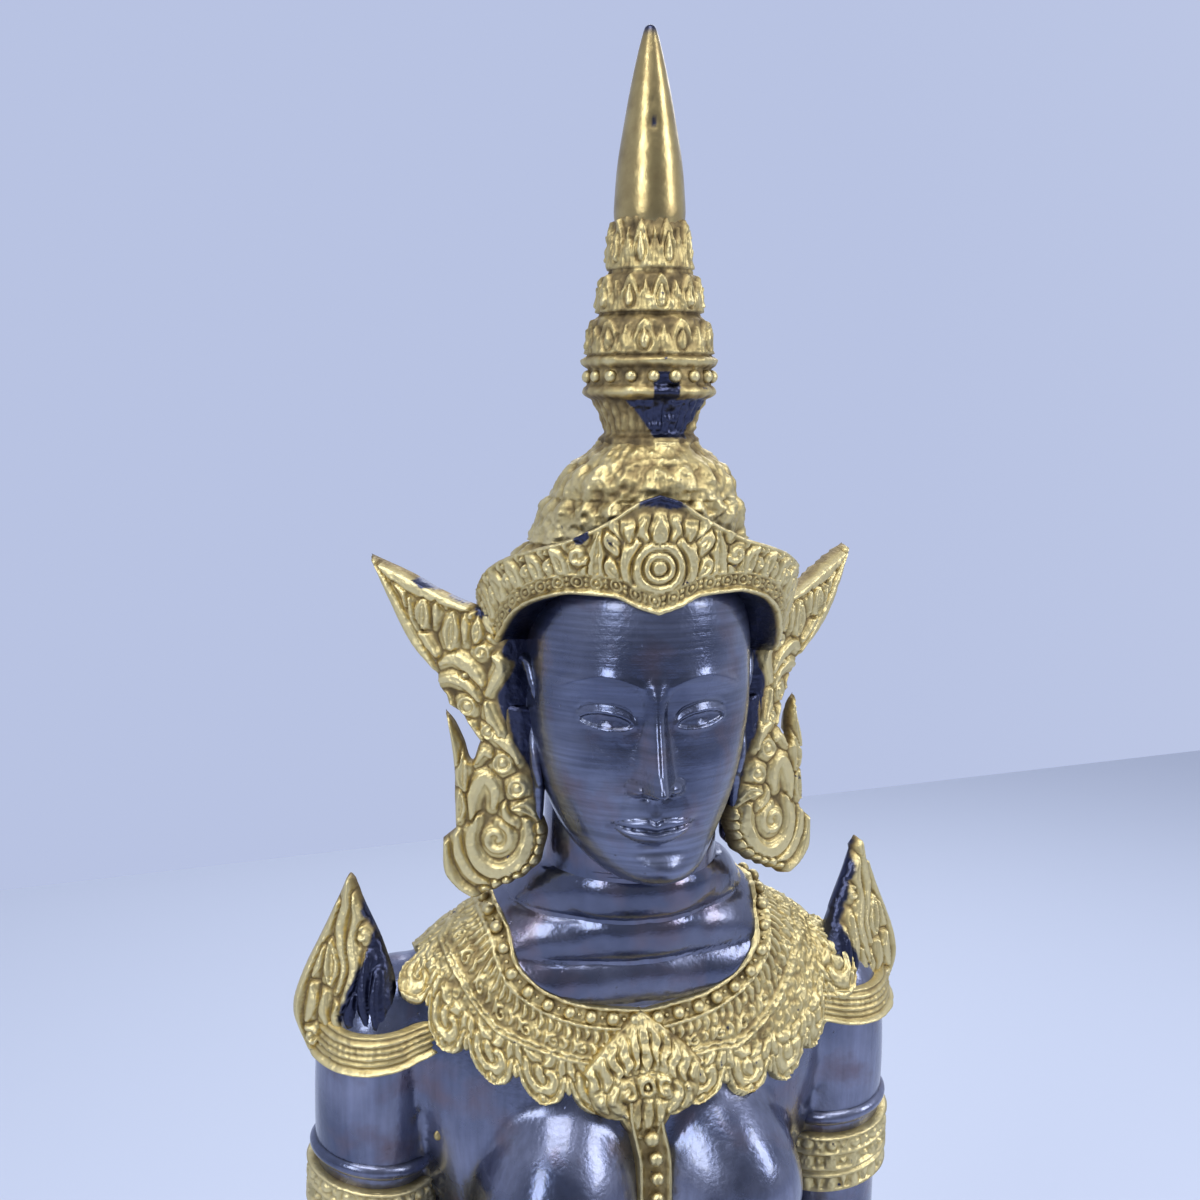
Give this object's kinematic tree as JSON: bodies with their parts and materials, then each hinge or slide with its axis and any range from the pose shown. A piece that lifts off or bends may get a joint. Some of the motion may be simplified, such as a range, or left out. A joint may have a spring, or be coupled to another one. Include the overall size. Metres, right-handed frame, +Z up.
{
  "type": "statue of a kneeling crowned woman",
  "caption": "Kneeling crowned woman with hands pressed together, on a low rounded plinth: a dark bronze casting with gilded crown, ear and shoulder ornaments, collar and belt.",
  "frame": {"origin": "centre of the underside of the low base", "axes": "+Z up, the figure faces -Y, its right hand is on -X"},
  "size_m": [0.1492, 0.222, 0.4565],
  "materials": {
    "dark_bronze": "dark blue-black patina, satin",
    "gilding": "gold paint, worn and browned in the hollows"
  },
  "bodies": {
    "root": {"figure": "dark_bronze"}
  },
  "joints": []
}
